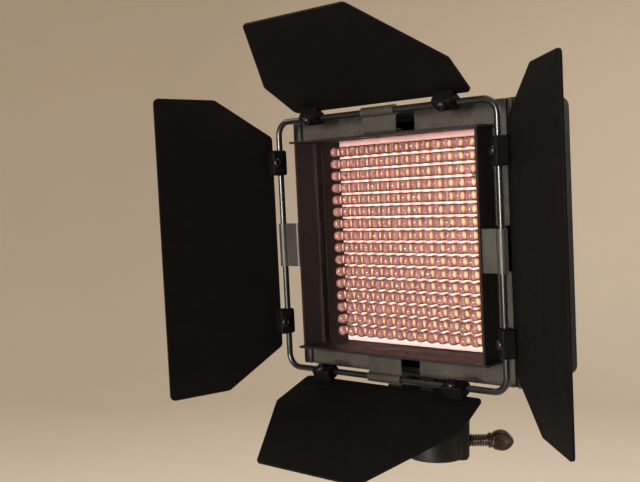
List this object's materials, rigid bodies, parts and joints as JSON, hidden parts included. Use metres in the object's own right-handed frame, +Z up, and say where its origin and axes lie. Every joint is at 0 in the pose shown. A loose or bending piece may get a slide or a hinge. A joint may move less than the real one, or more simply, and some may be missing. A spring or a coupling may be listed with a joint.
{
  "type": "led panel light",
  "caption": "Square LED panel light with a hood, pink filter, wire-hung barn door leaves and a tilting stand head.",
  "frame": {"origin": "centre of the stand socket, on its axis", "axes": "+Z up along the socket, the light faces -Y (tipped nose-down 4.19 degrees at rest), +X to the right seen from in front"},
  "size_m": [0.1942, 0.1389, 0.1968],
  "materials": {
    "casing_black": "fine texture",
    "wrinkle_grey": "wrinkle paint",
    "leaf_black": "matt powder coat",
    "wire_black": "gloss black",
    "strap_grey": "satin",
    "dark_screw": "blackened",
    "hood_black": "satin black",
    "pink_filter": "clear pink",
    "board_white": "solder mask",
    "led_clear": "clear epoxy",
    "board_green": "solder mask",
    "component_dark": "moulded",
    "head_black": "painted casting",
    "zinc_steel": "zinc plated",
    "bronze_wing": "worn bronze",
    "rubber_black": "matt",
    "knob_black": "moulded",
    "tray_black": "matt"
  },
  "bodies": {
    "head": {"stand_receiver": "head_black", "tilt_bolt": "zinc_steel", "tilt_washers": "rubber_black"},
    "thumbscrew": {"thumbscrew_shaft": "zinc_steel", "thumbscrew_wing": "bronze_wing"},
    "tilt_clamp": {"tilt_knob": "knob_black"},
    "lamp": {"tilt_tongue": "head_black", "foot_pad": "rubber_black", "foot_screws": "dark_screw", "foot_nut_plate": "zinc_steel", "housing_shell": "casing_black", "front_plate": "wrinkle_grey", "rear_cover": "casing_black", "cover_posts": "zinc_steel", "cover_screws": "dark_screw", "hood_wall_left": "hood_black", "hood_wall_right": "hood_black", "filter_rail_top": "hood_black", "filter_rail_bottom": "hood_black", "wire_frame": "wire_black", "strap_screws": "dark_screw", "led_tray": "tray_black", "led_board": "board_white", "leds": "led_clear", "board_standoffs": "zinc_steel", "driver_standoffs": "zinc_steel", "driver_board": "board_green", "driver_parts": "component_dark", "dimmer_pot": "component_dark", "switch_body": "component_dark", "dc_jack": "component_dark", "side_trims": "wrinkle_grey", "side_rail_left": "casing_black", "side_rail_right": "casing_black", "tray_brackets": "tray_black", "strap_left": "strap_grey", "strap_right": "strap_grey", "strap_top": "strap_grey", "strap_bottom": "strap_grey"},
    "filter": {"filter_plate": "pink_filter"},
    "dimmer": {"dimmer_knob": "knob_black"},
    "rocker": {"power_rocker": "knob_black"},
    "leaf_left": {"leaf_left": "leaf_black", "leaf_clips_left": "leaf_black", "leaf_screws_left": "dark_screw"},
    "leaf_right": {"leaf_right": "leaf_black", "leaf_clips_right": "leaf_black", "leaf_screws_right": "dark_screw"},
    "leaf_top": {"leaf_top": "leaf_black", "leaf_clips_top": "leaf_black", "leaf_screws_top": "dark_screw"},
    "leaf_bottom": {"leaf_bottom": "leaf_black", "leaf_clips_bottom": "leaf_black", "leaf_screws_bottom": "dark_screw"}
  },
  "joints": [
    {"name": "thumbscrew_turn", "type": "hinge", "parent": "head", "child": "thumbscrew", "pos_m": [0.01509, 0.01312, -0.0023], "axis": [0.7547, 0.6561, 0], "range_deg": [0, 360]},
    {"name": "tilt_clamp_turn", "type": "hinge", "parent": "head", "child": "tilt_clamp", "pos_m": [-0.016, 0, 0.0204], "axis": [-1, 0, 0], "range_deg": [0, 360]},
    {"name": "tilt", "type": "hinge", "parent": "head", "child": "lamp", "pos_m": [0, 0, 0.0204], "axis": [-1, 0, 0], "range_deg": [-45, 60]},
    {"name": "filter_pull", "type": "slide", "parent": "lamp", "child": "filter", "axis": [0, -0.9973, -0.0731], "range_m": [0, 0.03]},
    {"name": "dimmer_turn", "type": "hinge", "parent": "lamp", "child": "dimmer", "pos_m": [-0.038, 0.02393, 0.06326], "axis": [0, 0.9973, 0.0731], "range_deg": [0, 280]},
    {"name": "rocker_tip", "type": "hinge", "parent": "lamp", "child": "rocker", "pos_m": [0, 0.01795, 0.06283], "axis": [0, -0.0731, 0.9973], "range_deg": [-8, 8]},
    {"name": "leaf_left_swing", "type": "hinge", "parent": "lamp", "child": "leaf_left", "pos_m": [-0.0612, -0.04208, 0.09252], "axis": [0, 0.0731, -0.9973], "range_deg": [-28, 82]},
    {"name": "leaf_right_swing", "type": "hinge", "parent": "lamp", "child": "leaf_right", "pos_m": [0.0612, -0.04208, 0.09252], "axis": [0, -0.0731, 0.9973], "range_deg": [-56.7, 53.3]},
    {"name": "leaf_top_swing", "type": "hinge", "parent": "lamp", "child": "leaf_top", "pos_m": [0, -0.0465, 0.15286], "axis": [-1, 0, 0], "range_deg": [-41.4, 68.6]},
    {"name": "leaf_bottom_swing", "type": "hinge", "parent": "lamp", "child": "leaf_bottom", "pos_m": [0, -0.03766, 0.03218], "axis": [1, 0, 0], "range_deg": [-32.1, 77.9]}
  ]
}
